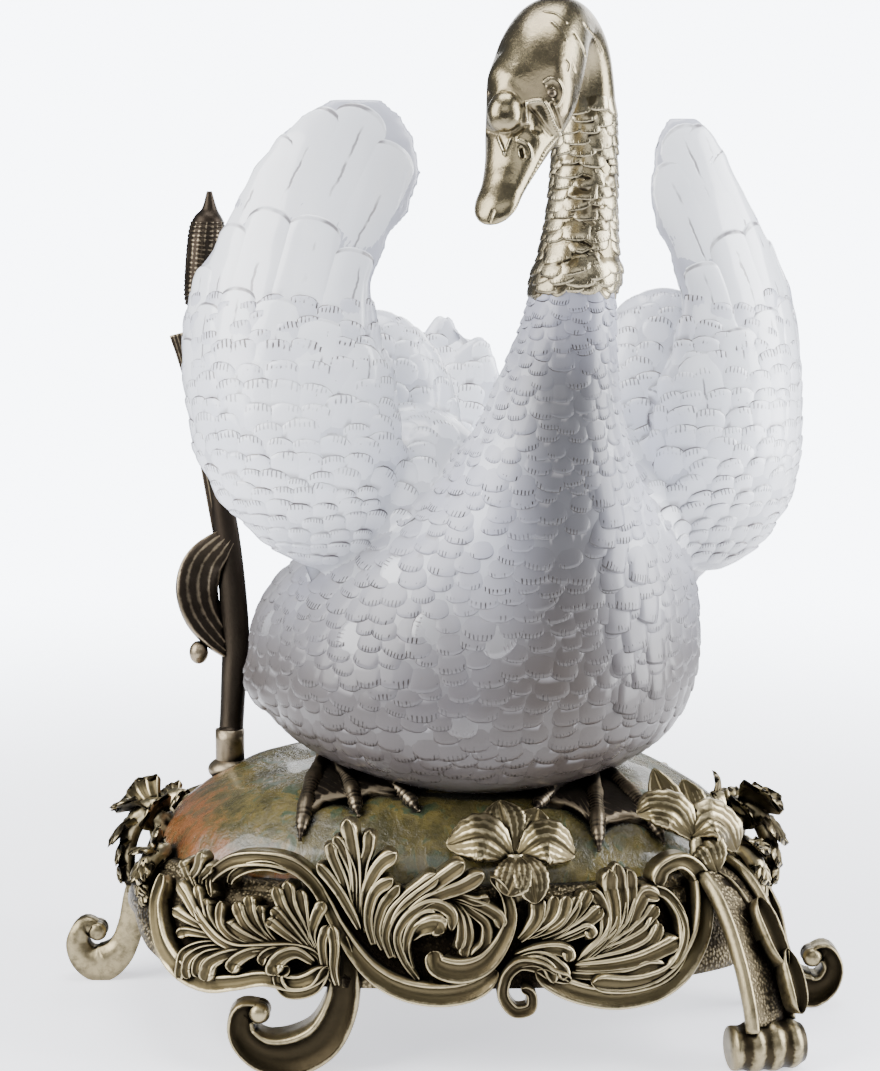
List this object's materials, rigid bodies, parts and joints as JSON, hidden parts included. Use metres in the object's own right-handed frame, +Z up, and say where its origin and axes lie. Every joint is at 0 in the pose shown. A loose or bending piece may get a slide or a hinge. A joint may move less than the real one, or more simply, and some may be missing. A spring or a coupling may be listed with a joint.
{
  "type": "porcelain swan figurine",
  "caption": "White porcelain swan with raised wings and a bronze head, on a mottled mound in a rococo bronze mount with a bulrush",
  "frame": {"origin": "on the ground, under the middle of the part's bounding box", "axes": "+Z up, the front with the scrolled panel faces -Y, +X is to the right for someone who looks at the front; the swan is turned about 20 degrees towards +X"},
  "size_m": [0.3572, 0.251, 0.4471],
  "materials": {
    "white_glaze": "gloss",
    "antique_bronze": "antique, dark in the recesses",
    "rubbed_bronze": "rubbed bright",
    "dark_bronze": "dark patina",
    "mottled_glaze": "gloss, mottled green and orange"
  },
  "bodies": {
    "root": {"swan": "white_glaze", "head_and_neck": "rubbed_bronze", "foot_left": "dark_bronze", "foot_right": "dark_bronze", "mound": "mottled_glaze", "base_mount": "antique_bronze", "bulrush": "dark_bronze"}
  },
  "joints": []
}
